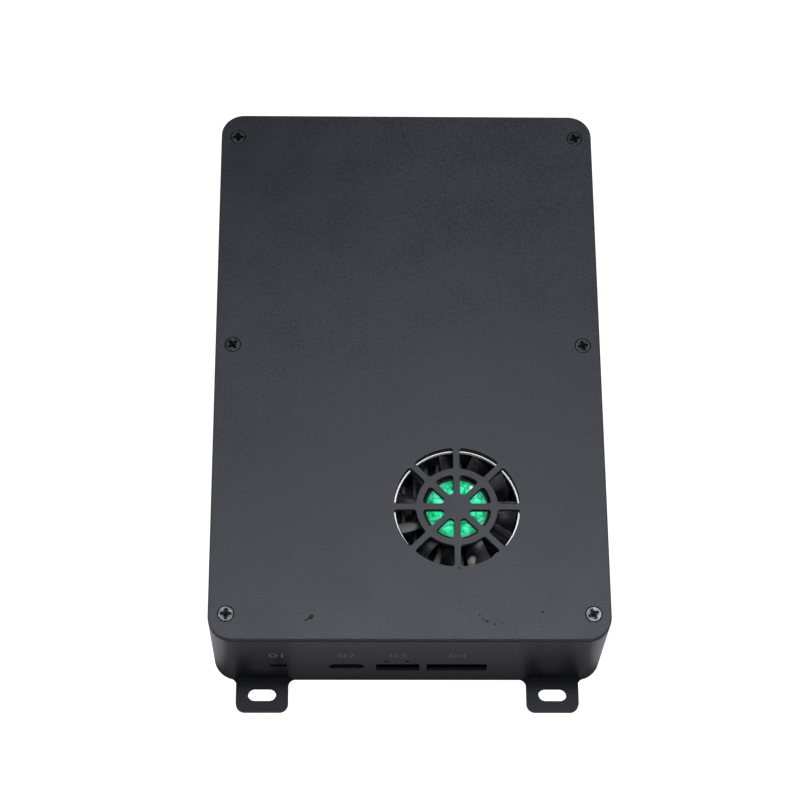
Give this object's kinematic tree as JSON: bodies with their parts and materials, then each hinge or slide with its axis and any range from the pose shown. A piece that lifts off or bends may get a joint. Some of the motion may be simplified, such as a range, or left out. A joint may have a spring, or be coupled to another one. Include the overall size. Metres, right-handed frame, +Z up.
{
  "type": "boxed single board computer",
  "caption": "Closed metal case with a single board computer inside, a fan under a round cover grille, mounting ears at the foot, card slots in front and cable sockets behind.",
  "frame": {"origin": "middle of the underside of the case", "axes": "+Z up out of the cover, +Y along the length towards the rear wall with the cable sockets, +X to the right when the front wall with the card slots is faced"},
  "size_m": [0.107, 0.178, 0.0363],
  "materials": {
    "case_body": "black anodised, bead blasted",
    "top_cover": "black anodised, bead blasted",
    "cover_screws": "black nickel",
    "main_pcb": "black solder mask",
    "pcb_screws": "plated",
    "soc_chip": "moulded",
    "thermal_pad": "soft",
    "heat_sink": "black anodised",
    "sink_screws": "plated",
    "sink_washers": "fibre",
    "sink_nuts": "plated",
    "fan_frame": "satin",
    "fan_bezel": "polished",
    "fan_rotor": "glossy",
    "hub_disc": "printed label stock",
    "fan_shaft": "ground",
    "rotor_magnet": "bonded ferrite",
    "fan_bearing": "sintered",
    "fan_stator": "wound copper",
    "fan_screws": "black",
    "fan_cable": "insulation",
    "fan_plug": "moulded",
    "fan_header": "moulded",
    "reset_switch": "moulded",
    "reset_button": "moulded",
    "usb_c_shell": "plated",
    "usb_c_tongue": "moulded",
    "card_socket": "pressed",
    "card_contacts": "plated",
    "sim_socket": "pressed",
    "sim_contacts": "plated",
    "status_lamps": "clear moulding",
    "light_guide": "clear moulding",
    "power_socket": "moulded",
    "power_pin": "plated",
    "video_shell": "pressed",
    "video_tongue": "moulded",
    "usb_a_shell": "pressed",
    "usb_a_core": "moulded",
    "net_socket": "pressed",
    "net_contacts": "plated",
    "sound_socket": "moulded",
    "aerial_sockets": "gold plated",
    "aerial_nuts": "gold plated",
    "aerial_washers": "plated",
    "aerial_leads": "insulation",
    "radio_card": "solder mask",
    "radio_socket": "moulded",
    "modem_card": "solder mask",
    "modem_socket": "moulded",
    "card_posts": "turned",
    "card_screws": "plated",
    "memory_chips": "moulded",
    "logic_chips": "moulded",
    "inductors": "ferrite",
    "capacitors": "can",
    "small_parts": "ceramic",
    "pin_header": "plated",
    "cell_holder": "moulded",
    "clock_cell": "pressed"
  },
  "bodies": {
    "case": {"case_body": "case_body", "top_cover": "top_cover", "cover_screws": "cover_screws", "main_pcb": "main_pcb", "pcb_screws": "pcb_screws", "soc_chip": "soc_chip", "thermal_pad": "thermal_pad", "heat_sink": "heat_sink", "sink_screws": "sink_screws", "sink_washers": "sink_washers", "sink_nuts": "sink_nuts", "fan_frame": "fan_frame", "fan_bezel": "fan_bezel", "fan_bearing": "fan_bearing", "fan_stator": "fan_stator", "fan_screws": "fan_screws", "fan_cable": "fan_cable", "fan_plug": "fan_plug", "fan_header": "fan_header", "reset_switch": "reset_switch", "usb_c_shell": "usb_c_shell", "usb_c_tongue": "usb_c_tongue", "card_socket": "card_socket", "card_contacts": "card_contacts", "sim_socket": "sim_socket", "sim_contacts": "sim_contacts", "status_lamps": "status_lamps", "light_guide": "light_guide", "power_socket": "power_socket", "power_pin": "power_pin", "video_shell": "video_shell", "video_tongue": "video_tongue", "usb_a_shell": "usb_a_shell", "usb_a_core": "usb_a_core", "net_socket": "net_socket", "net_contacts": "net_contacts", "sound_socket": "sound_socket", "aerial_sockets": "aerial_sockets", "aerial_nuts": "aerial_nuts", "aerial_washers": "aerial_washers", "aerial_leads": "aerial_leads", "radio_card": "radio_card", "radio_socket": "radio_socket", "modem_card": "modem_card", "modem_socket": "modem_socket", "card_posts": "card_posts", "card_screws": "card_screws", "memory_chips": "memory_chips", "logic_chips": "logic_chips", "inductors": "inductors", "capacitors": "capacitors", "small_parts": "small_parts", "pin_header": "pin_header", "cell_holder": "cell_holder", "clock_cell": "clock_cell"},
    "fan_rotor_body": {"fan_rotor": "fan_rotor", "hub_disc": "hub_disc", "fan_shaft": "fan_shaft", "rotor_magnet": "rotor_magnet"},
    "reset_body": {"reset_button": "reset_button"}
  },
  "joints": [
    {"name": "fan_spin", "type": "hinge", "parent": "case", "child": "fan_rotor_body", "pos_m": [0.0129, -0.042, 0.03], "axis": [0, 0, 1], "continuous": true},
    {"name": "reset_press", "type": "slide", "parent": "case", "child": "reset_body", "axis": [0, 1, 0], "range_m": [0, 0.00035], "stiffness_N_per_m": 900}
  ]
}
